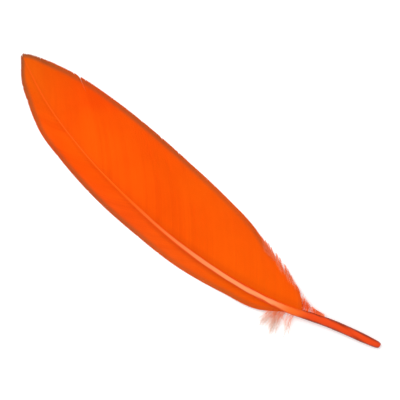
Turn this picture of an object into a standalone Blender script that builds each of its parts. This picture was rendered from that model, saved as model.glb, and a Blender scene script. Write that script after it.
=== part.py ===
"""One dyed wing feather, lying hollow side down. Metres, +Z up, +X from the quill's end to the vane's tip.

The feather grew as one piece, so it is one solid: a tapered shaft, a thin cambered vane that crosses it,
pleated into locks of barbs, and a few downy barbs at the vane's foot.
"""

import math

import bmesh
import bpy
import numpy as np
from mathutils import Matrix, Vector

MM = 0.001

# The plan of the feather, in millimetres: x from the quill's end, y to the narrow vane's side.
SHAFT_PLAN = ((0, 0), (12, 3.1), (24, 7.2), (36, 9.5), (50, 10.6), (66, 9.85), (82, 7.75), (96, 4.1), (107, -0.7))
NARROW_EDGE = ((18, 5.7), (21.5, 7.2), (27, 10.9), (36, 13.2), (48, 15.15), (60, 15.35), (72, 14.75), (84, 12.8),
               (93, 10.35), (99, 6.95), (104.4, 3.0), (106.3, 0.65), (107.1, -0.3))
WIDE_EDGE = ((18, 4.6), (20.2, 3.6), (22.5, 1.8), (25, 1.1), (30, -0.3), (35, -1.7), (39, -3.0), (48, -4.4),
             (60, -5.4), (72, -6.0), (84, -5.9), (94, -5.0), (101, -3.4), (105.5, -2.1), (107.1, -1.2))

# The shaft's radius and the height of its centre over the table, in millimetres, along x.
SHAFT_RADIUS = ((0, 0.80), (4, 1.04), (10, 1.10), (18, 1.04), (26, 0.86), (36, 0.74), (50, 0.60), (66, 0.44),
                (82, 0.30), (96, 0.18), (107, 0.08))
SHAFT_HEIGHT = ((0, 0.98), (6, 1.08), (16, 1.6), (30, 2.6), (50, 3.4), (66, 3.2), (82, 2.4), (96, 1.25), (107, 0.36))
SHAFT_TIP_X = 106.6
END_ROUNDING = ((0.0, 0.52), (0.12, 0.74), (0.35, 0.90), (0.8, 0.98))
ROUNDED_TO_X = 1.6
SHAFT_RINGS = 34
PIT_RADIUS = 0.30
PIT_DEPTH = 1.4

# The vane: its thickness, how far up the shaft's side it grows, its margins' height over the table, and how
# far each side bulges over a straight fall to its margin. Crowns flatten where the shaft lies under FULL_CROWN_AT.
VANE_THICKNESS = 0.36
VANE_FOOT_X = 19.0
VANE_TIP_X = 106.3
ATTACHED_AT = 0.30
MARGIN_LIFT = ((16, 1.5), (28, 0.9), (42, 0.15), (56, 0.0), (76, 0.0), (94, 0.1), (107, 0.12))
WIDE_CROWN = 1.0
NARROW_CROWN = 0.35
FULL_CROWN_AT = 3.0
FALL_POWER = 1.5

# The barbs: the angle between barb and shaft at the vane's foot and tip, how fast it closes from one to the other,
# and how far a barb bows off its chord.
WIDE_ANGLES = (68, 26)
NARROW_ANGLES = (30, 25)
ANGLE_POWER = 2
BARB_BOW = 0.11
LONGEST_BARB = 34

# The locks of barbs on each side: three barbs are modelled in each, and the margin is notched between two locks.
# Each lock slopes up from its first barb to its last, so that it laps over the next like a low pleat.
LOCKS = 32
LOCK_PHASES = (0.0, 0.5, 0.84)
NOTCHED = (1.0, 0.0, 0.7)
NOTCH_DEPTH = 0.30
DEEPEST_NOTCH = 0.06
PLEAT_HEIGHT = 0.20
PLEAT_FULL_AT = 0.62
PLEAT_FADE = 0.5
# The one deeper split, in the wide margin: the number of the lock after it and its extra depth in millimetres.
SPLIT_LOCK = 21
SPLIT_DEPTH = 0.8
WIDE_ROWS = 6
NARROW_ROWS = 3

# Downy barbs at the narrow vane's foot: x on the shaft, how far the tip lies along x and y, and its height.
DOWN_BARBS = ((20.6, -1.8, 5.8, 1.0), (21.8, -1.0, 7.0, 0.8), (23.2, -0.2, 7.2, 0.9), (24.4, 0.3, 6.4, 0.8))
DOWN_KNEE = (0.5, 0.0, 0.7)
DOWN_RADIUS = 0.26
DOWN_TIP_SHARE = 0.45
DOWN_POINTS = 5

ORANGE = (0.95, 0.095, 0.003, 1.0)


def curve_through(points):
    """A smooth function of x through a few (x, y) points, as cubic pieces whose slopes agree."""
    xs, ys = np.array(points, float).T
    slopes = np.gradient(ys, xs)

    def at(x):
        x = np.clip(x, xs[0], xs[-1])
        i = np.clip(np.searchsorted(xs, x, side="right") - 1, 0, len(xs) - 2)
        width = xs[i + 1] - xs[i]
        u = (x - xs[i]) / width
        value = ys[i] * (1 + 2 * u) * (1 - u) ** 2 + ys[i + 1] * u * u * (3 - 2 * u)
        return value + width * (slopes[i] * u * (1 - u) ** 2 - slopes[i + 1] * u * u * (1 - u))

    return at


shaft_y = curve_through(SHAFT_PLAN)
shaft_radius = curve_through(SHAFT_RADIUS)
shaft_height = curve_through(SHAFT_HEIGHT)
narrow_edge = curve_through(NARROW_EDGE)
wide_edge = curve_through(WIDE_EDGE)
margin_lift = curve_through(MARGIN_LIFT)


def shaft_heading(x):
    """The shaft's direction in plan, as an angle from +X."""
    step = 0.5
    return math.atan2(shaft_y(x + step) - shaft_y(x - step), 2 * step)


def barb_in_plan(x, side):
    """Root, bowed middle and tip of the barb that grows from the shaft at x. side is 1 for narrow, -1 for wide."""
    foot, tip = NARROW_ANGLES if side > 0 else WIDE_ANGLES
    edge = narrow_edge if side > 0 else wide_edge
    along = (x - VANE_FOOT_X) / (VANE_TIP_X - VANE_FOOT_X)
    heading = shaft_heading(x) + side * math.radians(tip + (foot - tip) * (1 - along) ** ANGLE_POWER)
    direction = np.array((math.cos(heading), math.sin(heading)))
    root = np.array((x, shaft_y(x)))
    reach = np.linspace(0, LONGEST_BARB, 400)
    points = root + reach[:, None] * direction
    inside = side * (edge(points[:, 0]) - points[:, 1])
    inside = np.minimum(inside, WIDE_EDGE[-1][0] - points[:, 0])
    last = max(int(np.argmax(inside < 0)), 1)
    share = inside[last - 1] / (inside[last - 1] - inside[last]) if inside[last - 1] > 0 else 0.0
    length = reach[last - 1] + share * (reach[last] - reach[last - 1])
    outward = side * np.array((-direction[1], direction[0]))
    middle = root + direction * length / 2 + outward * length * BARB_BOW
    return root, middle, root + direction * length, length


def vane_point(x, side, v, pleat):
    """A point of the vane's middle surface: v is 0 on the shaft and 1 at the margin."""
    root, middle, tip, _ = barb_in_plan(x, side)
    plan = root * (1 - v) ** 2 + 2 * middle * v * (1 - v) + tip * v * v
    top = shaft_height(x) + ATTACHED_AT * shaft_radius(x)
    low = VANE_THICKNESS / 2 + margin_lift(tip[0])
    crown = (NARROW_CROWN if side > 0 else WIDE_CROWN) * min(1.0, top / FULL_CROWN_AT)
    fall = v ** FALL_POWER
    height = top + (low - top) * fall + crown * 4 * v * (1 - v) * (1 - v / 2)
    relief = PLEAT_HEIGHT * pleat * math.sin(math.pi / 2 * min(v / PLEAT_FULL_AT, 1)) * (1 - PLEAT_FADE * v)
    return np.array((plan[0], plan[1], height + relief)) * MM


def lock_reach(lock, phase_number, length, side):
    """How far along its barb the margin lies, as a share: a notch parts each lock from the next."""
    if length <= 0:
        return 1.0
    at_split = side < 0 and lock + (phase_number > 1) == SPLIT_LOCK
    depth = NOTCH_DEPTH + at_split * SPLIT_DEPTH
    return 1 - NOTCHED[phase_number] * min(depth / length, DEEPEST_NOTCH)


def build_vane():
    """One open grid from margin to margin across the shaft, given thickness: columns are barbs, rows cross them."""
    columns = LOCKS * len(LOCK_PHASES)
    rows = WIDE_ROWS + NARROW_ROWS
    mesh = bpy.data.meshes.new("vane")
    grid = bmesh.new()
    bmesh.ops.create_grid(grid, x_segments=columns, y_segments=rows, size=1)
    for vertex in grid.verts:
        column = round((vertex.co.x + 1) / 2 * columns)
        row = round((vertex.co.y + 1) / 2 * rows) - WIDE_ROWS
        side = 1 if row > 0 else -1
        lock, number = divmod(column, len(LOCK_PHASES))
        phase = LOCK_PHASES[number]
        x = VANE_FOOT_X + (lock + phase) / LOCKS * (VANE_TIP_X - VANE_FOOT_X)
        length = barb_in_plan(x, side)[3]
        v = abs(row) / (NARROW_ROWS if side > 0 else WIDE_ROWS)
        v *= lock_reach(lock, number, length, side) if lock < LOCKS else 1.0
        pleat = phase - 0.5 if lock < LOCKS else -0.5
        vertex.co = vane_point(x, side, v, pleat)
    bmesh.ops.recalc_face_normals(grid, faces=grid.faces)
    grid.to_mesh(mesh)
    grid.free()
    vane = bpy.data.objects.new("vane_sheet", mesh)
    thickness = vane.modifiers.new("thickness", "SOLIDIFY")
    thickness.thickness = VANE_THICKNESS * MM
    thickness.offset = 0
    return vane


def tube(name, centres, radii, resolution):
    """A capped round tube through centres, each with its own radius, as a mesh object."""
    data = bpy.data.curves.new(name, "CURVE")
    data.dimensions = "3D"
    data.bevel_depth = MM
    data.bevel_resolution = resolution
    data.use_fill_caps = True
    spline = data.splines.new("POLY")
    spline.points.add(len(centres) - 1)
    for point, centre, radius in zip(spline.points, centres, radii):
        point.co = (*centre, 1)
        point.radius = radius
    curve = bpy.data.objects.new(name + "_curve", data)
    bpy.context.scene.collection.objects.link(curve)
    bpy.context.view_layer.update()
    graph = bpy.context.evaluated_depsgraph_get()
    mesh = bpy.data.meshes.new_from_object(curve.evaluated_get(graph))
    bpy.data.objects.remove(curve)
    shape = bmesh.new()
    shape.from_mesh(mesh)
    bmesh.ops.remove_doubles(shape, verts=shape.verts, dist=0.00001)
    bmesh.ops.recalc_face_normals(shape, faces=shape.faces)
    shape.to_mesh(mesh)
    shape.free()
    return bpy.data.objects.new(name, mesh)


def build_shaft():
    """The quill and the shaft above it, tapering along the whole feather, with a rounded lower end."""
    end = SHAFT_RADIUS[0][1]
    stations = [x for x, _ in END_ROUNDING]
    shares = [share for _, share in END_ROUNDING]
    along = np.linspace(ROUNDED_TO_X, SHAFT_TIP_X, SHAFT_RINGS)
    stations += list(along)
    centres = [np.array((x, shaft_y(x), shaft_height(x))) * MM for x in stations]
    radii = [end * share for share in shares] + [float(shaft_radius(x)) for x in along]
    return tube("shaft", centres, radii, resolution=3)


def build_pit():
    """The small hole at the quill's lower end, where the growing feather was fed. It is cut from the shaft."""
    depth = PIT_DEPTH * MM
    bpy.ops.mesh.primitive_cylinder_add(vertices=10, radius=PIT_RADIUS * MM, depth=2 * depth)
    pit = bpy.context.object
    pit.name = "pit_cutter"
    pit.location = (0, 0, shaft_height(0.0) * MM)
    pit.rotation_euler = (0, math.pi / 2, shaft_heading(0.6))
    return pit


def build_down(number, x, reach_x, reach_y, tip_height):
    """One downy barb, a thin tapered curl from the shaft's middle out to its tip."""
    start = np.array((x, shaft_y(x), shaft_height(x)))
    end = np.array((x + reach_x, start[1] + reach_y, tip_height))
    knee = (start + end) / 2 + np.array(DOWN_KNEE)
    shares = np.linspace(0, 1, DOWN_POINTS)
    centres = [(start * (1 - v) ** 2 + 2 * knee * v * (1 - v) + end * v * v) * MM for v in shares]
    radii = DOWN_RADIUS * (1 - (1 - DOWN_TIP_SHARE) * shares)
    return tube(f"down_{number}", centres, radii, resolution=0)


def combine(target, other, operation, helpers):
    """Joins other to target, or cuts it out, and keeps other as a helper that isn't part of the object."""
    helpers.objects.link(other)
    other.hide_render = True
    other.display_type = "WIRE"
    boolean = target.modifiers.new(other.name, "BOOLEAN")
    boolean.operation = operation
    boolean.object = other


def settle(feather):
    """Puts the origin under the middle of the feather's box, at the height of the table that it lies on."""
    bpy.context.view_layer.update()
    graph = bpy.context.evaluated_depsgraph_get()
    mesh = bpy.data.meshes.new_from_object(feather.evaluated_get(graph))
    corners = np.empty(len(mesh.vertices) * 3)
    mesh.vertices.foreach_get("co", corners)
    corners = corners.reshape(-1, 3)
    low, high = corners.min(axis=0), corners.max(axis=0)
    under = Vector(((low[0] + high[0]) / 2, (low[1] + high[1]) / 2, low[2]))
    mesh.transform(Matrix.Translation(-under))
    feather.modifiers.clear()
    feather.data = mesh


def dyed_keratin():
    """The feather's finish: matt orange with a faint sheen."""
    material = bpy.data.materials.new("orange_keratin")
    material.use_nodes = True
    shader = material.node_tree.nodes["Principled BSDF"]
    shader.inputs["Base Color"].default_value = ORANGE
    shader.inputs["Roughness"].default_value = 0.6
    shader.inputs["Metallic"].default_value = 0.0
    return material


def main():
    for old in list(bpy.data.objects):
        bpy.data.objects.remove(old)
    parts = bpy.data.collections.new("feather_parts")
    helpers = bpy.data.collections.new("helpers")
    for collection in (parts, helpers):
        bpy.context.scene.collection.children.link(collection)
    feather = build_shaft()
    feather.name = "feather"
    parts.objects.link(feather)
    pit = build_pit()
    for collection in list(pit.users_collection):
        collection.objects.unlink(pit)
    combine(feather, pit, "DIFFERENCE", helpers)
    combine(feather, build_vane(), "UNION", helpers)
    for number, barb in enumerate(DOWN_BARBS):
        combine(feather, build_down(number, *barb), "UNION", helpers)
    settle(feather)
    feather.data.materials.clear()
    feather.data.materials.append(dyed_keratin())
    feather.data.shade_smooth()
    feather.data.set_sharp_from_angle(angle=math.radians(40))


main()
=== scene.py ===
"""The looks of one orange dyed wing feather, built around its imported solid. Metres, +Z up.

The solid's plan is repeated here in millimetres, x from the quill's end and y to the narrow vane's side.
Every barb is a closed ribbon of its own that follows the solid's surface, and the down is made of hairs.
"""

import math

import bpy
import numpy as np
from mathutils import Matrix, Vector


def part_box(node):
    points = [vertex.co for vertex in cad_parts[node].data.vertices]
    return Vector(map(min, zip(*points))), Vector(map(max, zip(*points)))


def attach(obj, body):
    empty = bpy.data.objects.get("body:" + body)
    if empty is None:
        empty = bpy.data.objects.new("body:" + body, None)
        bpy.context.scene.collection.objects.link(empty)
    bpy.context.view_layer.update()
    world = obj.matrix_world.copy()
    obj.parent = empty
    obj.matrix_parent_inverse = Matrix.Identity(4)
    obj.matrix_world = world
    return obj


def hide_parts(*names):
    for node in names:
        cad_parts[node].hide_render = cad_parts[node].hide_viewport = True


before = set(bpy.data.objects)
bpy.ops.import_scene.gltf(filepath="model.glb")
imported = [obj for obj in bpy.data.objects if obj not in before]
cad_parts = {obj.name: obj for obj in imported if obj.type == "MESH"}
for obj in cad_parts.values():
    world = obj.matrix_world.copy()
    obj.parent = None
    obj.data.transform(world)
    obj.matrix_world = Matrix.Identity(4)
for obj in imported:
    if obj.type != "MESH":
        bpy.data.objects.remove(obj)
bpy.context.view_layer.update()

MM = 0.001
ON_TABLE = 0.00001
UP = np.array((0.0, 0.0, 1.0))
# The first of four seeds, one for each builder that draws random values.
SEED = 11
# How far to each side a slope is measured, in millimetres.
SLOPE_STEP = 0.5

# The two sides of the vane, by the sign of y from the shaft.
WIDE = -1
NARROW = 1

# The solid's plan, its shaft's radius and the height of the shaft's centre, all in millimetres along x.
SHAFT_PLAN = ((0, 0), (12, 3.1), (24, 7.2), (36, 9.5), (50, 10.6), (66, 9.85), (82, 7.75), (96, 4.1),
              (107, -0.7))
NARROW_EDGE = ((18, 5.7), (21.5, 7.2), (27, 10.9), (36, 13.2), (48, 15.15), (60, 15.35), (72, 14.75),
               (84, 12.8), (93, 10.35), (99, 6.95), (104.4, 3.0), (106.3, 0.65), (107.1, -0.3))
WIDE_EDGE = ((18, 4.6), (20.2, 3.6), (22.5, 1.8), (25, 1.1), (30, -0.3), (35, -1.7), (39, -3.0),
             (48, -4.4), (60, -5.4), (72, -6.0), (84, -5.9), (94, -5.0), (101, -3.4), (105.5, -2.1),
             (107.1, -1.2))
SHAFT_RADIUS = ((0, 0.80), (4, 1.04), (10, 1.10), (18, 1.04), (26, 0.86), (36, 0.74), (50, 0.60),
                (66, 0.44), (82, 0.30), (96, 0.18), (107, 0.08))
SHAFT_HEIGHT = ((0, 0.98), (6, 1.08), (16, 1.6), (30, 2.6), (50, 3.4), (66, 3.2), (82, 2.4), (96, 1.25),
                (107, 0.36))
MARGIN_LIFT = ((16, 1.5), (28, 0.9), (42, 0.15), (56, 0.0), (76, 0.0), (94, 0.1), (107, 0.12))
BOX_CORNER = (-0.104, -6.153, 0.0042)

# The vane, as in the solid: its stretch of the shaft, how far up the shaft's side it grows as a share of the
# radius, and its locks.
VANE_FOOT_X = 19.0
VANE_TIP_X = 106.3
ATTACHED_AT = 0.30
LOCKS = 32
# How far it arches up between shaft and margin, in full where the shaft's side is this high, and the power
# of its fall to the margin.
CROWN = {WIDE: 1.0, NARROW: 0.35}
FULL_CROWN_AT = 3.0
FALL_POWER = 1.5
# The barbs' angles from the shaft in degrees, at the vane's foot and at its tip, and how soon they change.
ANGLES = {WIDE: (68, 26), NARROW: (30, 25)}
ANGLE_POWER = 2
# The last barbs turn to run straight on and close the tip: from which share of the vane on, and how much.
TIP_FAN_FROM = 0.975
TIP_FAN_TURN = 0.9
# The knee of a barb's curve lies this share of its length outside the straight line to its tip.
BARB_BOW = 0.11
# How far out a barb's tip is looked for, and in how many steps.
LONGEST_BARB = 34
REACH_STEPS = 1200

# Barbs: how many grow on each side, the points along each, and how evenly these are spaced.
BARBS = {WIDE: 330, NARROW: 300}
STATIONS = {WIDE: 26, NARROW: 16}
EVEN_SHARE = 0.55
# They lie evenly spaced at this share of the way out, which is worked out in so many steps. They end this
# high over the table where the margin isn't lifted.
SPACED_AT = 0.8
ROOT_STEPS = 500
MARGIN_HEIGHT = 0.09
# A ribbon's half width as a share of the barbs' spacing, and the widest spacing that counts for it.
OVERLAP = 0.70
WIDEST_SPACING = 0.46
# Over how many millimetres a ribbon narrows to its tip, and how fast, then its least half width and the half
# width of a loose barb.
TIP_TAPER = 0.55
TAPER_POWER = 0.7
LEAST_HALF_WIDTH = 0.008
LOOSE_HALF_WIDTH = 0.10
# A ribbon's section: places across it in half widths, and heights in millimetres, round from its rim near
# the quill. A ribbon with less than this half width has a lower ridge.
SECTION = ((-1.0, -0.014), (-0.24, -0.002), (0.0, 0.042), (0.24, 0.004), (1.0, 0.016), (0.0, -0.040))
FULL_RIDGE_AT = 0.06
# Barbs reach this far past the planned margin, which fades out between these places near the tip.
MARGIN_GAIN = 0.4
GAIN_X = (100, 105)
# How ragged the margin is in millimetres, which share of the barbs are broken, and by how much.
RAGGED = 0.04
BROKEN_SHARE = 0.02
BROKEN_LOSS = 0.35
# The largest share of its length that a barb may lack, and the least length that this is worked out for.
LARGEST_LOSS = 0.3
SHORTEST_BARB = 0.1
# Relief in millimetres: how far locks lap, slow waves as height and turns, and how uneven the barbs are. It
# rises over these shares of the way out, and by the margin it has lost the last share.
PLEAT = 0.06
WAVES = ((0.10, 14), (0.05, 40))
UNEVEN = 0.006
WAVES_RISE = 0.5
UNEVEN_RISE = 0.1
WAVES_LOSS = 0.6
# The one split that shows, as in the solid, then closed seams: the lock before each, how far it opens at
# the margin, and how deep it is. Each bends the barbs within this many locks, from this share of their
# length on.
SPLITS = {WIDE: ((21, 0.05, 0.8), (3, 0.015, 0.1), (9, 0.015, 0.1), (14, 0.02, 0.15), (27, 0.015, 0.1)),
          NARROW: ((6, 0.015, 0.1), (15, 0.015, 0.1), (24, 0.02, 0.1))}
SPLIT_WIDTH = 0.5
SPLIT_FROM = 0.55
# Loose barbs by the wide margin: where along x their tips come and go, how deep their open fringe is and how
# far it sticks out, and how much its depth differs between barbs.
FRINGE_X = (21.5, 26.5, 32.0, 38.5)
FRINGE_DEPTH = 3.0
FRINGE_REACH = 2.1
FRINGE_SPREAD = (0.75, 1.1)
# A loose barb narrows over this many millimetres and strays to the side, and up or down, but not below the
# last height.
LOOSE_WITHIN = 0.7
STRAY = 0.075
STRAY_UP = (-0.12, 0.10)
STRAY_POWER = 1.5
LOWEST_BARB = 0.06
# The share of looseness from which a barb carries fluff.
FLUFFY_FROM = 0.05

# The painted shade along the margin, a darker line just inside it: where it comes and goes, in millimetres
# in, how much of it is there before it comes, and its strength along x.
RIM = (-0.3, 0.4, 0.5, 1.5)
RIM_AT_TIPS = 0.35
RIM_STRENGTH = ((20, 0.12), (34, 0.42), (48, 0.36), (58, 0.54), (78, 0.66), (88, 0.52), (98, 0.62),
                (107, 0.88))
# The shade in the groove beside the shaft: each side's share, and its strength along x. From this many radii
# out it fades over these millimetres.
GROOVE = {WIDE: 0.5, NARROW: 0.85}
GROOVE_STRENGTH = ((19, 0.28), (30, 0.33), (40, 0.50), (50, 0.46), (62, 0.25), (80, 0.17), (107, 0.15))
GROOVE_FROM = 1.3
GROOVE_FADE = (0.2, 2.0)
# A painted sheen on the narrow vane, paler there: how strong it is, and where along x it comes and goes.
NARROW_PAINTED_SHEEN = 0.045
PAINTED_SHEEN_X = (34, 44, 58, 74)
# Streaks from barb to barb: strength and number of turns, and a random share.
STREAKS = ((0.45, 16), (0.35, 55))
STREAK_GRAIN = 0.21
# Where along x the tip's colour comes, and where the yellower colour near the quill goes.
TIP_COLOUR_X = (86, 104)
BASE_COLOUR_X = (24, 72)

# The tuft's two groups: threads, where on x they leave the shaft, and how far they reach along x and y.
TUFT = ((26, (20.3, 25.6), (-3.4, 1.4), (5.6, 7.9)),
        (14, (19.6, 25.2), (-1.8, 1.6), (2.0, 4.8)))
# Where a thread leaves the shaft, out and up as shares of the radius. How much smaller it may be, how far it
# droops, its least height, and its bulge along x, y and z.
TUFT_ROOT = (0.5, -0.35)
TUFT_SIZE = (0.72, 1.0)
TUFT_DROOP = (-1.3, -0.3)
TUFT_LOWEST = 0.25
TUFT_BULGE = ((0.1, 0.9), (-0.3, 0.3), (-0.4, 0.4))
# How far a thread's end curls to the side, and over how many turns.
CURL = (0.05, 0.45)
CURL_TURNS = (0.6, 1.5)
# The wide vane's last barbs, loose and shorter and shorter down the quill: how many, where, their reach at
# both ends of that stretch, and the power by which it grows.
FOOT_BARBS = 64
FOOT_X = (14.0, 20.2)
FOOT_REACH = (0.3, 3.3)
FOOT_POWER = 1.6
# Where one leaves the quill, out and up as shares of the radius. How much its reach differs, how far it
# leans forward, how far it droops, and its bulge along x, y and z.
FOOT_ROOT = (-0.85, ATTACHED_AT)
FOOT_SPREAD = (0.75, 1.1)
FOOT_FORWARD = (1.0, 1.6)
FOOT_DROOP = (-0.8, -0.3)
FOOT_BULGE = ((-0.35, 0.0), (-0.15, 0.05), (0.0, 0.15))
# Barbules: their spacing, the longest one, and the share of their barb's length from which they grow.
TUFT_BARBULES = (0.13, 0.85, 0.10)
FOOT_BARBULES = (0.07, 0.55, 0.0)
FLUFF_BARBULES = (0.05, 0.85, 0.70)
# They grow up to this share. Their places differ by this share of the spacing. Their lengths follow half a
# wave, cut off near both ends, and differ too. Each leans forward, strays up or down and bows a little.
BARBULES_END = 0.98
BARBULE_JITTER = 0.3
BARBULE_WAVE = (0.1, 0.93)
BARBULE_SIZE = (0.6, 1)
BARBULE_FORWARD = 0.75
BARBULE_LIFT = 0.35
BARBULE_BOW = 0.12
LOWEST_BARBULE = 0.08
# Hairs as tubes: points along each, sides, and radius at the root and at the end.
THREAD_STATIONS = 19
THREAD_SIDES = 4
THREAD_RADII = (0.055, 0.018)
BARBULE_STATIONS = 5
BARBULE_SIDES = 3
BARBULE_RADII = (0.021, 0.008)
# The dye fades out of the down over this distance from the shaft, to the narrow vane's side.
DYED_DOWN = (1.0, 5.5)
# The last barbs are dyed like the vane, which fades out over these shares of their reach and over this x.
DYED_FOOT = (0.5, 1.1)
DYED_FOOT_X = (20, 21.5)

# The shaft as a tube: its sides, and its rings as x and share of the radius, from the pit's floor out, round
# the rounded end, along the body and to the closed tip.
SHAFT_SIDES = 28
PIT_RINGS = ((1.5, 0.02), (1.4, 0.30), (0.25, 0.36), (0.0, 0.42))
END_RINGS = ((-0.04, 0.55), (0.0, 0.66), (0.12, 0.78), (0.35, 0.90), (0.7, 0.975))
BODY_X = (1.1, VANE_TIP_X)
BODY_RINGS = 300
TIP_RING = (106.4, 0.4)
# How uneven its radius is, over how many turns, and where along x this begins.
SHAFT_ROUGH = 0.012
SHAFT_TURNS = 60
ROUGH_X = (2, 6)
# The round quill becomes the squarer shaft here, with grooves: depth as a share of the radius, half angle.
SQUARE_X = (15, 27)
SQUARE_GAIN = 0.7
UNDER_GROOVE = (0.30, math.radians(20))
SEAT_GROOVE = (0.13, math.radians(9))

# The bake's map: columns of strips, how much of its cell a strip fills each way, and where its caps lie.
ATLAS_COLUMNS = 3
STRIP_LONG = 0.98
STRIP_WIDE = 0.96
CAP_FROM = 0.985
CAP_LONG = 0.01
# An edge sharper than this isn't smoothed over.
SHARP = math.radians(50)

# Finishes, as linear colours.
VANE_DEEP = (0.85, 0.076, 0.0012, 1)
VANE_LIGHT = (0.95, 0.104, 0.0018, 1)
VANE_YELLOW = (0.93, 0.128, 0.0014, 1)
VANE_TIP = (0.78, 0.110, 0.0022, 1)
VANE_SHADE = (0.42, 0.034, 0.0040, 1)
# Painted shade along the margin.
VANE_RIM_SHADE = (0.28, 0.085, 0.0280, 1)
VANE_LOOSE = (0.97, 0.23, 0.075, 1)
# The shaft's colours in lit and shaded pairs: painted highlight on its crown, painted shade on its sides.
# The pith's pale crown is partly its own pale colour and partly painted highlight.
QUILL_LIT_CROWN = (0.80, 0.064, 0.010, 1)
QUILL_SHADED_SIDE = (0.27, 0.021, 0.002, 1)
SHAFT_FOOT_LIT_CROWN = (0.93, 0.150, 0.020, 1)
PITH_AND_HIGHLIGHT = (0.96, 0.300, 0.112, 1)
PITH_SHADED_SIDE = (0.78, 0.062, 0.004, 1)
FAR_SHADED_SIDE = (0.78, 0.066, 0.001, 1)
FAR_LIT_CROWN = (0.86, 0.096, 0.001, 1)
DOWN_DARK = (0.42, 0.19, 0.12, 1)
DOWN_LIGHT = (0.95, 0.62, 0.47, 1)
# The tints of the shine on the vane, on the shaft and on the down.
VANE_SHINE = (1.0, 0.40, 0.10, 1)
VANE_SHEEN = (1.0, 0.40, 0.08, 1)
SHAFT_SHINE = (1.0, 0.42, 0.15, 1)
DOWN_SHEEN = (1.0, 0.75, 0.6, 1)
# How much of a colour is mixed in: the yellower one, the tip's, a loose barb's, and two in the down.
YELLOW_SHARE = 0.55
TIP_SHARE = 0.8
LOOSE_SHARE = 0.75
DYE_SHARE = 0.88
WEB_SHARE = 0.9
# Patches where the dye took unevenly, as a noise's scale and detail. The fine one changes the tone by this
# much, and the broad one adds this much yellow between two of its values.
FINE_PATCH = (140, 4)
FINE_STRENGTH = 0.9
BROAD_PATCH = (55, 2)
BROAD_YELLOW = (0.45, 0.72, 0.0, 0.30)
# Barbules drawn across each barb: lines in a millimetre, slant, strength, and relief as share and metres.
HATCH_PER_MM = 9.0
HATCH_SLANT = -0.7
HATCH_STRENGTH = 0.35
HATCH_RELIEF = (0.35, 0.00002)
# The vane's tone falls this far out from the shaft, in millimetres, by this much.
OUTER_TONE = (9.0, 20.0, 0.0, 0.5)
# The horn's grain: scale, detail and stretch of its noise, its strength, and its relief.
GRAIN = (900, 3, (0.05, 1.0, 1.0))
GRAIN_STRENGTH = 0.8
GRAIN_RELIEF = (0.25, 0.00004)
# How high up the shaft's side, as a sine, its painted highlight on the crown takes over from the painted
# shade on its sides: in the quill, over the pith, elsewhere.
QUILL_LIT = (0.5, 0.98)
PITH_LIT = (0.72, 0.94)
SHAFT_LIT = (0.3, 0.95)
# Where along x, in millimetres, the shaft's colours change, and its roughness before and after that.
FOOT_COLOUR_X = (16.5, 21.5)
PITH_COLOUR_X = (21.0, 27.0)
FAR_COLOUR_X = (30.0, 70.0)
MATT_X = (17.0, 27.0)
SHAFT_ROUGHNESS = (0.34, 0.55)

# The table, the light and the camera.
FLOOR = (0.95, 0.95, 0.95, 1)
FLOOR_GLOW = 0.15
FLOOR_HALF = 1.2
WHITE = (1, 1, 1, 1)
WORLD_STRENGTH = 0.66
LAMP_SIZE = 0.5
LAMP_POWER = 3.6
LAMP_PLACE = (0.35, -0.05, 0.65)
# The camera looks straight down and is turned as in the photograph, with the feather's tip up and left.
CAMERA_TURN = 218.75
CAMERA_LENS = 100
SENSOR = 36
FRAME_WIDTH = 0.093
CAMERA_HEIGHT = FRAME_WIDTH * CAMERA_LENS / SENSOR
CLIP_START = 0.01


def curve_through(points):
    """A smooth function of x through a few (x, y) points, as cubic pieces whose slopes agree."""
    xs, ys = np.array(points, float).T
    slopes = np.gradient(ys, xs)

    def at(x):
        x = np.clip(x, xs[0], xs[-1])
        i = np.clip(np.searchsorted(xs, x, side="right") - 1, 0, len(xs) - 2)
        width = xs[i + 1] - xs[i]
        u = (x - xs[i]) / width
        value = ys[i] * (1 + 2 * u) * (1 - u) ** 2 + ys[i + 1] * u * u * (3 - 2 * u)
        return value + width * (slopes[i] * u * (1 - u) ** 2 - slopes[i + 1] * u * u * (1 - u))

    return at


shaft_y = curve_through(SHAFT_PLAN)
shaft_radius = curve_through(SHAFT_RADIUS)
shaft_height = curve_through(SHAFT_HEIGHT)
rim_strength = curve_through(RIM_STRENGTH)
groove_strength = curve_through(GROOVE_STRENGTH)
margin_lift = curve_through(MARGIN_LIFT)
margin = {WIDE: curve_through(WIDE_EDGE), NARROW: curve_through(NARROW_EDGE)}


def smooth_step(low, high, x):
    """0 under low, 1 over high, and a smooth rise between them."""
    u = np.clip((x - low) / (high - low), 0, 1)
    return u * u * (3 - 2 * u)


def drift(rng, count, turns):
    """A smooth random run of values between -1 and 1 that turns about so many times."""
    values = rng.uniform(-1, 1, turns + 2)
    at = np.linspace(0, turns, count)
    i = at.astype(int)
    u = at - i
    u = u * u * (3 - 2 * u)
    return values[i] * (1 - u) + values[i + 1] * u


def unit(vectors):
    """Each vector at a length of 1."""
    return vectors / np.maximum(np.linalg.norm(vectors, axis=-1, keepdims=True), 1e-9)


def to_frame(points):
    """Plan millimetres to the frame's metres."""
    low = np.array(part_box("feather")[0])
    return low + (points - np.array(BOX_CORNER)) * MM


def shaft_heading(x):
    """The shaft's direction in plan, as an angle from +X."""
    return np.arctan2(shaft_y(x + SLOPE_STEP) - shaft_y(x - SLOPE_STEP), 2 * SLOPE_STEP)


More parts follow.
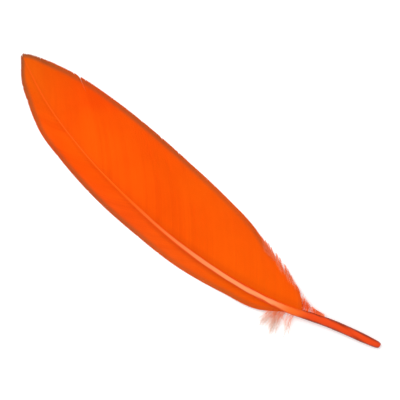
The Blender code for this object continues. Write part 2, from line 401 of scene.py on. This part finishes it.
def barb_rays(x, side):
    """Root, direction and length in plan of the barbs that grow from the shaft at each x."""
    foot, tip = ANGLES[side]
    along = (x - VANE_FOOT_X) / (VANE_TIP_X - VANE_FOOT_X)
    angle = tip + (foot - tip) * (1 - along) ** ANGLE_POWER
    angle = angle * (1 - TIP_FAN_TURN * smooth_step(TIP_FAN_FROM, 1, along))
    heading = shaft_heading(x) + side * np.radians(angle)
    direction = np.stack((np.cos(heading), np.sin(heading)), -1)
    root = np.stack((x, shaft_y(x)), -1)
    reach = np.linspace(0, LONGEST_BARB, REACH_STEPS)
    points = root[:, None] + reach[:, None] * direction[:, None]
    inside = side * (margin[side](points[..., 0]) - points[..., 1])
    inside = np.minimum(inside, WIDE_EDGE[-1][0] - points[..., 0])
    last = np.maximum(np.argmax(inside < 0, axis=1), 1)
    row = np.arange(len(x))
    before, after = inside[row, last - 1], inside[row, last]
    share = np.clip(before / np.where(before > after, before - after, 1), 0, 1)
    return root, direction, reach[last - 1] + share * reach[1]


def vane_surface(x, side, v):
    """Points of the vane in plan millimetres: x for each barb, and v from 0 on the shaft to 1 at the margin.

    The barbs' outward vectors and lengths in plan come with them.
    """
    root, direction, length = barb_rays(x, side)
    outward = side * np.stack((-direction[:, 1], direction[:, 0]), -1)
    tip = root + direction * length[:, None]
    middle = root + (tip - root) / 2 + outward * length[:, None] * BARB_BOW
    w = v[..., None]
    plan = root[:, None] * (1 - w) ** 2 + 2 * middle[:, None] * w * (1 - w) + tip[:, None] * w * w
    top = (shaft_height(x) + ATTACHED_AT * shaft_radius(x))[:, None]
    low = (MARGIN_HEIGHT + margin_lift(tip[:, 0]))[:, None]
    crown = CROWN[side] * np.minimum(1.0, top / FULL_CROWN_AT)
    height = top + (low - top) * v ** FALL_POWER + crown * 4 * v * (1 - v) * (1 - v / 2)
    return np.concatenate((plan, height[..., None]), -1), outward, length


def even_roots(side):
    """Where on the shaft one side's barbs grow, so that they are evenly spaced in the vane's outer part."""
    x = np.linspace(VANE_FOOT_X, VANE_TIP_X, ROOT_STEPS)
    line = vane_surface(x, side, np.full((len(x), 1), SPACED_AT))[0][:, 0, :2]
    steps = np.linalg.norm(np.diff(line, axis=0), axis=1) + np.diff(x)
    travelled = np.concatenate(([0], np.cumsum(steps)))
    return np.interp((np.arange(BARBS[side]) + 0.5) / BARBS[side] * travelled[-1], travelled, x)


def split_field(side, lock):
    """For each barb, how far it leans along the margin and how much shorter it is, because of the splits."""
    lean = np.zeros(len(lock))
    short = np.zeros(len(lock))
    for after, opening, depth in SPLITS[side]:
        near = np.clip(1 - np.abs(lock - after) / SPLIT_WIDTH, 0, 1)
        lean += opening * np.where(lock < after, 1, -1) * near ** 2
        short += depth * near ** 3
    return lean, short


def openness(side, tip_x):
    """How open the web is at each barb's tip: only by the wide margin near the quill."""
    rise = smooth_step(FRINGE_X[0], FRINGE_X[1], tip_x)
    fade = smooth_step(FRINGE_X[2], FRINGE_X[3], tip_x)
    return rise * (1 - fade) * (side == WIDE)


def inside_margin(points, side):
    """How far inside the planned margin each point lies, square to it, in millimetres."""
    edge = margin[side]
    x, y = points[..., 0], points[..., 1]
    slope = (edge(x + SLOPE_STEP) - edge(x - SLOPE_STEP)) / (2 * SLOPE_STEP)
    return np.minimum(side * (edge(x) - y) / np.hypot(1, slope), WIDE_EDGE[-1][0] - x)


def barb_reach(short, length, tip_x, open_web, rng):
    """The share of its planned length that each barb reaches. Loose barbs stick out past the margin."""
    count = len(short)
    short = short + np.abs(rng.normal(0, RAGGED, count)) + BROKEN_LOSS * (rng.random(count) < BROKEN_SHARE)
    short = short - open_web * rng.uniform(0.0, 1.0, count) * FRINGE_REACH
    short = short - MARGIN_GAIN * (1 - smooth_step(*GAIN_X, tip_x))
    return 1 - np.minimum(short / np.maximum(length, SHORTEST_BARB), LARGEST_LOSS)


def lay_relief(points, v, lock, rng):
    """Low relief: locks that lap a little, slow waves, and a hair's difference between barbs."""
    count = len(lock)
    lock_rise = np.interp(lock, np.arange(LOCKS + 1), rng.uniform(0.0, 1.0, LOCKS + 1))
    pleat = (lock % 1 - 0.5) * PLEAT * lock_rise
    wave = sum(height * drift(rng, count, turns) for height, turns in WAVES)
    rise = np.sin(math.pi / 2 * np.minimum(v / WAVES_RISE, 1)) * (1 - WAVES_LOSS * v)
    points[..., 2] += rise * (pleat + wave)[:, None]
    points[..., 2] += UNEVEN * rng.normal(0, 1, count)[:, None] * np.minimum(v / UNEVEN_RISE, 1)


def barb_frames(points):
    """At each point, unit vectors across to the next barb and up from the vane, and the barbs' spacing."""
    tangent = unit(np.gradient(points, axis=1))
    across = np.gradient(points, axis=0)
    across -= (across * tangent).sum(-1, keepdims=True) * tangent
    spacing = np.minimum(np.linalg.norm(across, axis=-1), WIDEST_SPACING)
    across = unit(across)
    up = np.cross(tangent, across)
    up *= np.sign(up[..., 2:3])
    return across, up, spacing


def loosen_ends(points, left, open_web, rng):
    """Let each barb stray past its hold, and return how loose each point is. left is what follows, in mm."""
    count = len(points)
    depth = (open_web * FRINGE_DEPTH * rng.uniform(*FRINGE_SPREAD, count))[:, None]
    free = np.maximum(depth - left, 0)
    points[..., :2] += (free ** STRAY_POWER)[..., None] * rng.normal(0, STRAY, (count, 1, 2))
    points[..., 2] += free * rng.uniform(*STRAY_UP, (count, 1))
    points[..., 2] = np.maximum(points[..., 2], LOWEST_BARB)
    return smooth_step(0.0, LOOSE_WITHIN, free)


def barb_colours(side, x, points, along, loose, open_web, rng):
    """What the barbs' finish reads at each point, where along is the distance from the shaft."""
    count = len(x)
    streak = sum(strength * drift(rng, count, turns) for strength, turns in STREAKS)
    streak = streak + rng.normal(0, STREAK_GRAIN, count)
    inside = inside_margin(points, side)
    rim = RIM_AT_TIPS + (1 - RIM_AT_TIPS) * smooth_step(*RIM[:2], inside)
    rim = rim * (1 - smooth_step(*RIM[2:], inside)) * rim_strength(points[..., 0])
    painted_sheen = NARROW_PAINTED_SHEEN * smooth_step(*PAINTED_SHEEN_X[:2], x) * (1 - smooth_step(*PAINTED_SHEEN_X[2:], x))
    painted_sheen = painted_sheen * (side == NARROW)
    beside = along - GROOVE_FROM * shaft_radius(x)[:, None]
    groove = (GROOVE[side] * groove_strength(x))[:, None] * (1 - smooth_step(*GROOVE_FADE, beside))
    return {
        "tone": np.broadcast_to(0.5 + 0.5 * streak[:, None], along.shape),
        "along": along,
        # Painted shade along the margin, left off where the web is open.
        "edge": rim * (1 - open_web[:, None]),
        "root": groove,
        # The loose value also carries the painted sheen on the narrow vane.
        "loose": loose + painted_sheen[:, None],
        "tip": smooth_step(*TIP_COLOUR_X, points[..., 0]),
        "base": np.broadcast_to(1 - smooth_step(*BASE_COLOUR_X, x[:, None]), along.shape),
    }


def barb_lines(side, rng):
    """What one side's ribbons need: centre lines, vectors across and up, half widths and colour values.

    The lines of its loose barbs come last, for their fluff.
    """
    x = even_roots(side)
    lock = (x - VANE_FOOT_X) / (VANE_TIP_X - VANE_FOOT_X) * LOCKS
    lean, short = split_field(side, lock)
    _, direction, length = barb_rays(x, side)
    tip_x = x + direction[:, 0] * length
    open_web = openness(side, tip_x)
    reach = barb_reach(short, length, tip_x, open_web, rng)
    t = np.linspace(0, 1, STATIONS[side])
    t = EVEN_SHARE * t + (1 - EVEN_SHARE) * (1 - np.cos(math.pi * t)) / 2
    v = t[None, :] * reach[:, None]
    points, outward, length = vane_surface(x, side, v)
    lay_relief(points, v, lock, rng)
    across, up, spacing = barb_frames(points)

    along = v * length[:, None]
    left = (reach * length)[:, None] - along
    loose = loosen_ends(points, left, open_web, rng)
    points[..., :2] += (lean[:, None] * smooth_step(SPLIT_FROM, 1.0, v))[..., None] * outward[:, None]
    taper = np.clip(left / TIP_TAPER, 0.0, 1.0) ** TAPER_POWER
    half = OVERLAP * spacing * (1 - loose) + LOOSE_HALF_WIDTH * loose
    half = np.maximum(half * taper, LEAST_HALF_WIDTH)
    colours = barb_colours(side, x, points, along, loose, open_web, rng)
    return points, across, up, half, colours, points[open_web > FLUFFY_FROM]


def mesh_from(name, points, faces, attributes, uvs):
    """A smooth mesh in the frame, with an attribute for each thing that its colours read."""
    mesh = bpy.data.meshes.new(name)
    points = to_frame(points)
    points[:, 2] = np.maximum(points[:, 2], ON_TABLE)
    mesh.from_pydata(points.tolist(), [], faces)
    for key, values in attributes.items():
        layer = mesh.attributes.new(key, "FLOAT", "POINT")
        layer.data.foreach_set("value", np.ascontiguousarray(values, np.float32).ravel())
    if uvs is not None:
        layer = mesh.uv_layers.new(name="OFBake")
        layer.data.foreach_set("uv", np.ascontiguousarray(uvs, np.float32).ravel())
    mesh.shade_smooth()
    mesh.set_sharp_from_angle(angle=SHARP)
    piece = bpy.data.objects.new(name, mesh)
    bpy.context.scene.collection.objects.link(piece)
    return piece


def strip_faces(lines, stations, sides):
    """Quads round and along each line's tube, then a cap at each end, and their places in the bake's map."""
    counts = (np.arange(lines), np.arange(stations - 1), np.arange(sides))
    line, along, around = (grid.ravel() for grid in np.meshgrid(*counts, indexing="ij"))

    def number(step, turn):
        return (line * stations + along + step) * sides + (around + turn) % sides

    quads = np.stack((number(0, 0), number(0, 1), number(1, 1), number(1, 0)), -1)
    rows = math.ceil(lines / ATLAS_COLUMNS)
    step = np.array([[0], [0], [1], [1]])
    turn = np.array([[0], [1], [1], [0]])
    u = (line // rows + (along + step) / (stations - 1) * STRIP_LONG) / ATLAS_COLUMNS
    v = (line % rows + (around + turn) / sides * STRIP_WIDE) / rows
    first = np.arange(lines)[:, None] * stations * sides + np.arange(sides)
    last = first + (stations - 1) * sides
    caps = first[:, ::-1].tolist() + last.tolist()
    cap_uv = np.zeros((lines * 2, sides, 2))
    way_round = np.arange(sides) / sides
    cap_line = np.tile(np.arange(lines), 2)[:, None]
    cap_uv[..., 0] = (cap_line // rows + CAP_FROM + CAP_LONG * np.abs(2 * way_round - 1)) / ATLAS_COLUMNS
    cap_uv[..., 1] = (cap_line % rows + STRIP_WIDE * way_round) / rows
    uvs = np.concatenate((np.stack((u.T, v.T), -1).reshape(-1, 2), cap_uv.reshape(-1, 2)))
    return quads.tolist() + caps, uvs


def build_vane(name, side, rng):
    """One side of the vane: every barb a closed ribbon with a ridge, each lapping over the next."""
    points, across, up, half, colours, fringe = barb_lines(side, rng)
    place = np.array([p for p, _ in SECTION])
    height = np.array([h for _, h in SECTION])
    ridge = np.minimum(half / FULL_RIDGE_AT, 1)[..., None, None]
    ring = points[:, :, None] + across[:, :, None] * (half[..., None] * place)[..., None]
    ring = ring + up[:, :, None] * height[:, None] * ridge
    faces, uvs = strip_faces(*ring.shape[:3])
    attributes = {key: np.repeat(values[..., None], len(place), -1) for key, values in colours.items()}
    attributes["across"] = np.broadcast_to(place, ring.shape[:3])
    return mesh_from(name, ring.reshape(-1, 3), faces, attributes, uvs), fringe


def hair_mesh(name, lines, radii, sides, attributes):
    """Many thin tapered tubes as one mesh. lines is (hairs, stations, 3), in plan millimetres."""
    tangent = unit(np.gradient(lines, axis=1))
    level = unit(np.cross(tangent, UP))
    upright = np.cross(level, tangent)
    angle = np.arange(sides) / sides * 2 * math.pi
    ring = lines[:, :, None] + radii[..., None, None] * (
        level[:, :, None] * np.cos(angle)[:, None] + upright[:, :, None] * np.sin(angle)[:, None])
    faces, uvs = strip_faces(*ring.shape[:3])
    spread = {key: np.repeat(values[..., None], sides, -1) for key, values in attributes.items()}
    return mesh_from(name, ring.reshape(-1, 3), faces, spread, uvs)


def bent_lines(start, end, bulge, stations):
    """Quadratic curves from start to end, pushed out by bulge halfway."""
    t = np.linspace(0, 1, stations)[None, :, None]
    knee = (start + end) / 2 + bulge
    return start[:, None] * (1 - t) ** 2 + 2 * knee[:, None] * t * (1 - t) + end[:, None] * t * t


def tapered(lines, thick, thin):
    """A radius for each point of the lines, from thick at the root to thin at the end."""
    share = np.linspace(0, 1, lines.shape[1])[None, :]
    return np.broadcast_to(thick + (thin - thick) * share, lines.shape[:2])


def scattered(rng, ranges, count):
    """Random vectors, each coordinate within its own range."""
    return np.stack([rng.uniform(*limits, count) for limits in ranges], -1)


def tuft_threads(rng, count, x_range, reach_x, reach_y):
    """Centre lines of downy barbs that leave the shaft on the narrow vane's side and droop to the table."""
    x = np.sort(rng.uniform(*x_range, count))
    radius = shaft_radius(x)
    start = np.stack((x, shaft_y(x) + TUFT_ROOT[0] * radius, shaft_height(x) + TUFT_ROOT[1] * radius), -1)
    size = rng.uniform(*TUFT_SIZE, count)
    size = np.stack((size, size, np.ones(count)), -1)
    end = start + scattered(rng, (reach_x, reach_y, TUFT_DROOP), count) * size
    end[:, 2] = np.maximum(end[:, 2], TUFT_LOWEST)
    threads = bent_lines(start, end, scattered(rng, TUFT_BULGE, count), THREAD_STATIONS)
    share = np.linspace(0, 1, THREAD_STATIONS)
    turn = rng.uniform(*CURL_TURNS, (count, 1)) * share * 2 * math.pi
    turn = turn + rng.uniform(0, 2 * math.pi, (count, 1))
    curl = rng.uniform(*CURL, (count, 1)) * share * np.sin(turn)
    forward = unit(np.gradient(threads, axis=1))
    threads[..., 0] -= curl * forward[..., 1]
    threads[..., 1] += curl * forward[..., 0]
    return threads


def foot_reach(x):
    """How far out from the quill's side the wide vane's last barbs reach, which grows toward the vane."""
    share = np.clip((x - FOOT_X[0]) / (FOOT_X[1] - FOOT_X[0]), 0, 1)
    return FOOT_REACH[0] + (FOOT_REACH[1] - FOOT_REACH[0]) * share ** FOOT_POWER


def foot_threads(rng):
    """Centre lines of the wide vane's last barbs, in the corner between its foot and the quill."""
    x = np.sort(rng.uniform(*FOOT_X, FOOT_BARBS))
    radius = shaft_radius(x)
    start = np.stack((x, shaft_y(x) + FOOT_ROOT[0] * radius, shaft_height(x) + FOOT_ROOT[1] * radius), -1)
    out = foot_reach(x) * rng.uniform(*FOOT_SPREAD, FOOT_BARBS)
    forward = rng.uniform(*FOOT_FORWARD, FOOT_BARBS)
    end = start + np.stack((forward, -out, rng.uniform(*FOOT_DROOP, FOOT_BARBS)), -1)
    return bent_lines(start, end, scattered(rng, FOOT_BULGE, FOOT_BARBS), THREAD_STATIONS)


def barbules_on(rng, threads, spacing, longest, first):
    """Short hairs on both sides of each thread, from the share first of its way on."""
    found = []
    for thread in threads:
        step = np.linalg.norm(np.diff(thread, axis=0), axis=1).sum()
        share = np.arange(first, BARBULES_END, spacing / step)
        share = share + rng.uniform(-BARBULE_JITTER, BARBULE_JITTER, len(share)) * spacing / step
        at = share * (len(thread) - 1)
        i = np.clip(at.astype(int), 0, len(thread) - 2)
        start = thread[i] + (thread[i + 1] - thread[i]) * (at - i)[:, None]
        forward = unit(thread[i + 1] - thread[i])
        sideways = unit(np.cross(forward, UP))
        hand = np.where(np.arange(len(share)) % 2 == 0, 1, -1)[:, None]
        length = longest * np.sin(math.pi * np.clip(share, *BARBULE_WAVE))[:, None]
        length = length * rng.uniform(*BARBULE_SIZE, (len(share), 1))
        lift = rng.normal(0, BARBULE_LIFT, (len(share), 1)) * UP
        end = start + length * unit(BARBULE_FORWARD * forward + hand * sideways + lift)
        end[:, 2] = np.maximum(end[:, 2], LOWEST_BARBULE)
        found.append(bent_lines(start, end, -BARBULE_BOW * length * forward, BARBULE_STATIONS))
    return np.concatenate(found)


def down_mesh(name, lines, radii, sides, rng):
    """Hairs with a tone each, and at each point how dyed it is and how much it looks like the vane's web."""
    x, out = lines[..., 0], lines[..., 1] - shaft_y(lines[..., 0])
    web = 1 - smooth_step(*DYED_FOOT, -out / (shaft_radius(x) + foot_reach(x)))
    attributes = {
        "tone": np.broadcast_to(rng.random((len(lines), 1)) ** 0.5, lines.shape[:2]),
        "dye": 1 - smooth_step(*DYED_DOWN, out),
        "web": web * (out < 0) * (1 - smooth_step(*DYED_FOOT_X, x)),
    }
    return hair_mesh(name, lines, tapered(lines, *radii), sides, attributes)


def build_down(rng, fringe):
    """The tuft, the last barbs down the quill, and unhooked barbules on these and on the loose barbs."""
    tuft = np.concatenate([tuft_threads(rng, *group) for group in TUFT])
    foot = foot_threads(rng)
    carriers = ((tuft, TUFT_BARBULES), (foot, FOOT_BARBULES), (fringe, FLUFF_BARBULES))
    barbules = np.concatenate([barbules_on(rng, lines, *sizes) for lines, sizes in carriers])
    threads = np.concatenate((tuft, foot))
    return (down_mesh("down_barbs", threads, THREAD_RADII, THREAD_SIDES, rng),
            down_mesh("down_barbules", barbules, BARBULE_RADII, BARBULE_SIDES, rng))


def shaft_section(x, angle):
    """The shaft's radius at x and angle: round in the quill, then squarer with three grooves."""
    above = smooth_step(*SQUARE_X, x)
    power = 2 + SQUARE_GAIN * above
    level, upright = np.abs(np.cos(angle)), np.abs(np.sin(angle))
    radius = shaft_radius(x) / (level ** power + upright ** power) ** (1 / power)
    from_below = np.abs((angle - 1.5 * math.pi + math.pi) % (2 * math.pi) - math.pi)
    depth, half_angle = UNDER_GROOVE
    groove = depth * above * np.exp(-(from_below / half_angle) ** 2)
    depth, half_angle = SEAT_GROOVE
    for seat in (math.asin(ATTACHED_AT), math.pi - math.asin(ATTACHED_AT)):
        groove = groove + depth * above * np.exp(-((angle - seat) / half_angle) ** 2)
    return radius * (1 - groove)


def build_shaft(rng):
    """The quill and the shaft above it as one tube, with a rounded lower end that opens into a small pit."""
    body = [(x, 1.0) for x in np.linspace(*BODY_X, BODY_RINGS)]
    x, share = np.array([*PIT_RINGS, *END_RINGS, *body, TIP_RING]).T
    inside = np.arange(len(x)) < len(PIT_RINGS)
    angle = np.arange(SHAFT_SIDES) / SHAFT_SIDES * 2 * math.pi
    rough = 1 - SHAFT_ROUGH * (1 + drift(rng, len(x), SHAFT_TURNS)) * smooth_step(*ROUGH_X, x)
    radius = shaft_section(x[:, None], angle[None, :]) * (share * rough)[:, None]
    heading = shaft_heading(x)
    level = np.stack((-np.sin(heading), np.cos(heading), np.zeros(len(x))), -1)
    centre = np.stack((x, shaft_y(x), shaft_height(x)), -1)
    ring = centre[:, None] + radius[..., None] * (
        level[:, None] * np.cos(angle)[:, None] + UP * np.sin(angle)[:, None])
    attributes = {
        "along": np.broadcast_to(x[:, None], radius.shape),
        "crown": np.broadcast_to(np.sin(angle), radius.shape),
        "inside": np.broadcast_to(inside[:, None], radius.shape),
    }
    faces, _ = strip_faces(1, len(x), SHAFT_SIDES)
    return mesh_from("shaft", ring.reshape(-1, 3), faces, attributes, None)


class Nodes:
    """A material's node tree with short calls for the few kinds of node that the finishes use."""

    def __init__(self, name):
        self.material = bpy.data.materials.new(name)
        self.material.use_nodes = True
        self.tree = self.material.node_tree
        self.shader = self.tree.nodes["Principled BSDF"]

    def set(self, **values):
        for key, value in values.items():
            self.shader.inputs[key.replace("_", " ")].default_value = value

    def link(self, source, target):
        self.tree.links.new(source, target)

    def give(self, socket, value):
        """A fixed value or another node's output, into a socket."""
        if isinstance(value, (int, float, tuple)):
            socket.default_value = value
        else:
            self.link(value, socket)

    def attribute(self, name):
        node = self.tree.nodes.new("ShaderNodeAttribute")
        node.attribute_name = name
        return node.outputs["Fac"]

    def maths(self, operation, first, second=0.0, third=0.0):
        node = self.tree.nodes.new("ShaderNodeMath")
        node.operation = operation
        for socket, value in zip(node.inputs, (first, second, third)):
            self.give(socket, value)
        return node.outputs[0]

    def ramp(self, value, low, high, to_low=0.0, to_high=1.0):
        node = self.tree.nodes.new("ShaderNodeMapRange")
        node.interpolation_type = "SMOOTHSTEP"
        self.link(value, node.inputs["Value"])
        for key, number in (("From Min", low), ("From Max", high), ("To Min", to_low), ("To Max", to_high)):
            node.inputs[key].default_value = number
        return node.outputs["Result"]

    def mix(self, share, first, second):
        node = self.tree.nodes.new("ShaderNodeMix")
        node.data_type = "RGBA"
        self.give(node.inputs[0], share)
        self.give(node.inputs[6], first)
        self.give(node.inputs[7], second)
        return node.outputs[2]

    def noise(self, scale, detail, stretch=None):
        coordinates = self.tree.nodes.new("ShaderNodeTexCoord").outputs["Object"]
        if stretch:
            mapping = self.tree.nodes.new("ShaderNodeMapping")
            mapping.inputs["Scale"].default_value = stretch
            self.link(coordinates, mapping.inputs["Vector"])
            coordinates = mapping.outputs["Vector"]
        node = self.tree.nodes.new("ShaderNodeTexNoise")
        node.inputs["Scale"].default_value = scale
        node.inputs["Detail"].default_value = detail
        self.link(coordinates, node.inputs["Vector"])
        return node.outputs["Fac"]

    def bump(self, height, strength, distance):
        node = self.tree.nodes.new("ShaderNodeBump")
        node.inputs["Strength"].default_value = strength
        node.inputs["Distance"].default_value = distance
        self.link(height, node.inputs["Height"])
        self.link(node.outputs["Normal"], self.shader.inputs["Normal"])


def barb_finish():
    """Dyed barbs: streaks from barb to barb, uneven patches of dye, and barbules across each barb."""
    n = Nodes("dyed_barbs")
    n.set(Roughness=0.62, Specular_IOR_Level=0.14, Specular_Tint=VANE_SHINE)
    n.set(Sheen_Weight=0.08, Sheen_Roughness=0.4, Sheen_Tint=VANE_SHEEN)
    along = n.attribute("along")
    slant = n.maths("ABSOLUTE", n.attribute("across"))
    hatch = n.maths("MULTIPLY_ADD", slant, HATCH_SLANT, n.maths("MULTIPLY", along, HATCH_PER_MM))
    hatch = n.maths("PINGPONG", hatch, 0.5)
    patch = n.noise(*FINE_PATCH)
    tone = n.maths("MULTIPLY_ADD", n.maths("SUBTRACT", patch, 0.5), FINE_STRENGTH, n.attribute("tone"))
    tone = n.maths("MULTIPLY_ADD", n.maths("SUBTRACT", hatch, 0.25), HATCH_STRENGTH, tone)
    tone = n.maths("SUBTRACT", tone, n.ramp(along, *OUTER_TONE))
    colour = n.mix(n.ramp(tone, 0.0, 1.0), VANE_DEEP, VANE_LIGHT)
    patch = n.ramp(n.noise(*BROAD_PATCH), *BROAD_YELLOW)
    colour = n.mix(n.maths("MULTIPLY_ADD", n.attribute("base"), YELLOW_SHARE, patch), colour, VANE_YELLOW)
    colour = n.mix(n.maths("MULTIPLY", n.attribute("tip"), TIP_SHARE), colour, VANE_TIP)
    colour = n.mix(n.attribute("root"), colour, VANE_SHADE)
    # Painted shade along the margin.
    colour = n.mix(n.attribute("edge"), colour, VANE_RIM_SHADE)
    # Paler loose barbs, and through the same value the painted sheen on the narrow vane.
    colour = n.mix(n.maths("MULTIPLY", n.attribute("loose"), LOOSE_SHARE), colour, VANE_LOOSE)
    n.link(colour, n.shader.inputs["Base Color"])
    n.bump(hatch, *HATCH_RELIEF)
    return n.material


def shaft_finish():
    """Horn: red and a little glossy in the quill, pale and matt where pith fills it, orange near its tip."""
    n = Nodes("dyed_horn")
    n.set(Specular_IOR_Level=0.22, Specular_Tint=SHAFT_SHINE, Coat_Weight=0.03, Coat_Roughness=0.25)
    along = n.attribute("along")
    crown = n.attribute("crown")
    streak = n.noise(*GRAIN)
    grain = n.maths("MULTIPLY", n.maths("SUBTRACT", streak, 0.5), GRAIN_STRENGTH)
    # The crown gets a painted highlight and the sides painted shade, with the grain running through both.
    lit = n.maths("ADD", grain, crown)
    lit_both_ways = n.maths("ADD", grain, n.maths("ABSOLUTE", crown))
    quill = n.mix(n.ramp(lit_both_ways, *QUILL_LIT), QUILL_SHADED_SIDE, QUILL_LIT_CROWN)
    pith = n.mix(n.ramp(lit, *PITH_LIT), PITH_SHADED_SIDE, PITH_AND_HIGHLIGHT)
    far = n.mix(n.ramp(lit, *SHAFT_LIT), FAR_SHADED_SIDE, FAR_LIT_CROWN)
    foot = n.mix(n.ramp(lit, *SHAFT_LIT), FAR_SHADED_SIDE, SHAFT_FOOT_LIT_CROWN)
    colour = n.mix(n.ramp(along, *FOOT_COLOUR_X), quill, foot)
    colour = n.mix(n.ramp(along, *PITH_COLOUR_X), colour, pith)
    colour = n.mix(n.ramp(along, *FAR_COLOUR_X), colour, far)
    # Painted shade in the pit at the quill's end.
    colour = n.mix(n.attribute("inside"), colour, QUILL_SHADED_SIDE)
    n.link(colour, n.shader.inputs["Base Color"])
    n.link(n.ramp(along, *MATT_X, *SHAFT_ROUGHNESS), n.shader.inputs["Roughness"])
    n.bump(streak, *GRAIN_RELIEF)
    return n.material


def down_finish():
    """Down took less dye, so it is pale, except where it is dyed like a loose barb or like the vane."""
    n = Nodes("pale_down")
    n.set(Roughness=0.8, Specular_IOR_Level=0.1, Sheen_Weight=0.1, Sheen_Tint=DOWN_SHEEN)
    colour = n.mix(n.attribute("tone"), DOWN_DARK, DOWN_LIGHT)
    colour = n.mix(n.maths("MULTIPLY", n.attribute("dye"), DYE_SHARE), colour, VANE_LOOSE)
    colour = n.mix(n.maths("MULTIPLY", n.attribute("web"), WEB_SHARE), colour, VANE_LIGHT)
    n.link(colour, n.shader.inputs["Base Color"])
    return n.material


def dress(piece, material):
    """Give a piece its material, attach it to the root body, and hide the solid's node that it replaces."""
    piece.data.materials.append(material)
    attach(piece, "root")
    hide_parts("feather")


def build_floor():
    """The pale table that the feather lies on."""
    mesh = bpy.data.meshes.new("floor")
    corners = [(x * FLOOR_HALF, y * FLOOR_HALF, 0) for x, y in ((-1, -1), (1, -1), (1, 1), (-1, 1))]
    mesh.from_pydata(corners, [], [(0, 1, 2, 3)])
    floor = bpy.data.objects.new("floor", mesh)
    bpy.context.scene.collection.objects.link(floor)
    n = Nodes("pale_floor")
    n.set(Base_Color=FLOOR, Roughness=0.9, Specular_IOR_Level=0.0)
    n.set(Emission_Color=FLOOR, Emission_Strength=FLOOR_GLOW)
    mesh.materials.append(n.material)


def build_light():
    """Even white light from all round, and one large soft lamp above and to the picture's upper left."""
    world = bpy.data.worlds.new("studio")
    world.use_nodes = True
    world.node_tree.nodes["Background"].inputs["Color"].default_value = WHITE
    world.node_tree.nodes["Background"].inputs["Strength"].default_value = WORLD_STRENGTH
    bpy.context.scene.world = world
    data = bpy.data.lights.new("softbox", "AREA")
    data.shape = "SQUARE"
    data.size = LAMP_SIZE
    data.energy = LAMP_POWER
    lamp = bpy.data.objects.new("softbox", data)
    lamp.location = LAMP_PLACE
    lamp.rotation_euler = (-lamp.location).to_track_quat("-Z", "Y").to_euler()
    bpy.context.scene.collection.objects.link(lamp)


def build_camera():
    """Straight down, turned so that the tip points up and left, with the feather in the picture's middle."""
    turn = math.radians(CAMERA_TURN)
    right = np.array((math.cos(turn), math.sin(turn)))
    up = np.array((-right[1], right[0]))
    corners = np.array([v.co[:2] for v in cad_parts["feather"].data.vertices])
    middle = np.zeros(2)
    for axis in (right, up):
        reach = corners @ axis
        middle += axis * (reach.min() + reach.max()) / 2
    data = bpy.data.cameras.new("camera")
    data.lens = CAMERA_LENS
    data.sensor_width = SENSOR
    data.clip_start = CLIP_START
    camera = bpy.data.objects.new("camera", data)
    camera.location = (*middle, CAMERA_HEIGHT)
    camera.rotation_euler = (0, 0, turn)
    bpy.context.scene.collection.objects.link(camera)
    bpy.context.scene.camera = camera


def main():
    bpy.context.scene.view_settings.view_transform = "Standard"
    barbs = barb_finish()
    wide, fringe = build_vane("vane_wide", WIDE, np.random.default_rng(SEED))
    narrow, _ = build_vane("vane_narrow", NARROW, np.random.default_rng(SEED + 1))
    dress(wide, barbs)
    dress(narrow, barbs)
    dress(build_shaft(np.random.default_rng(SEED + 2)), shaft_finish())
    down = down_finish()
    for piece in build_down(np.random.default_rng(SEED + 3), fringe):
        dress(piece, down)
    build_floor()
    build_light()
    build_camera()


main()
bpy.context.view_layer.update()
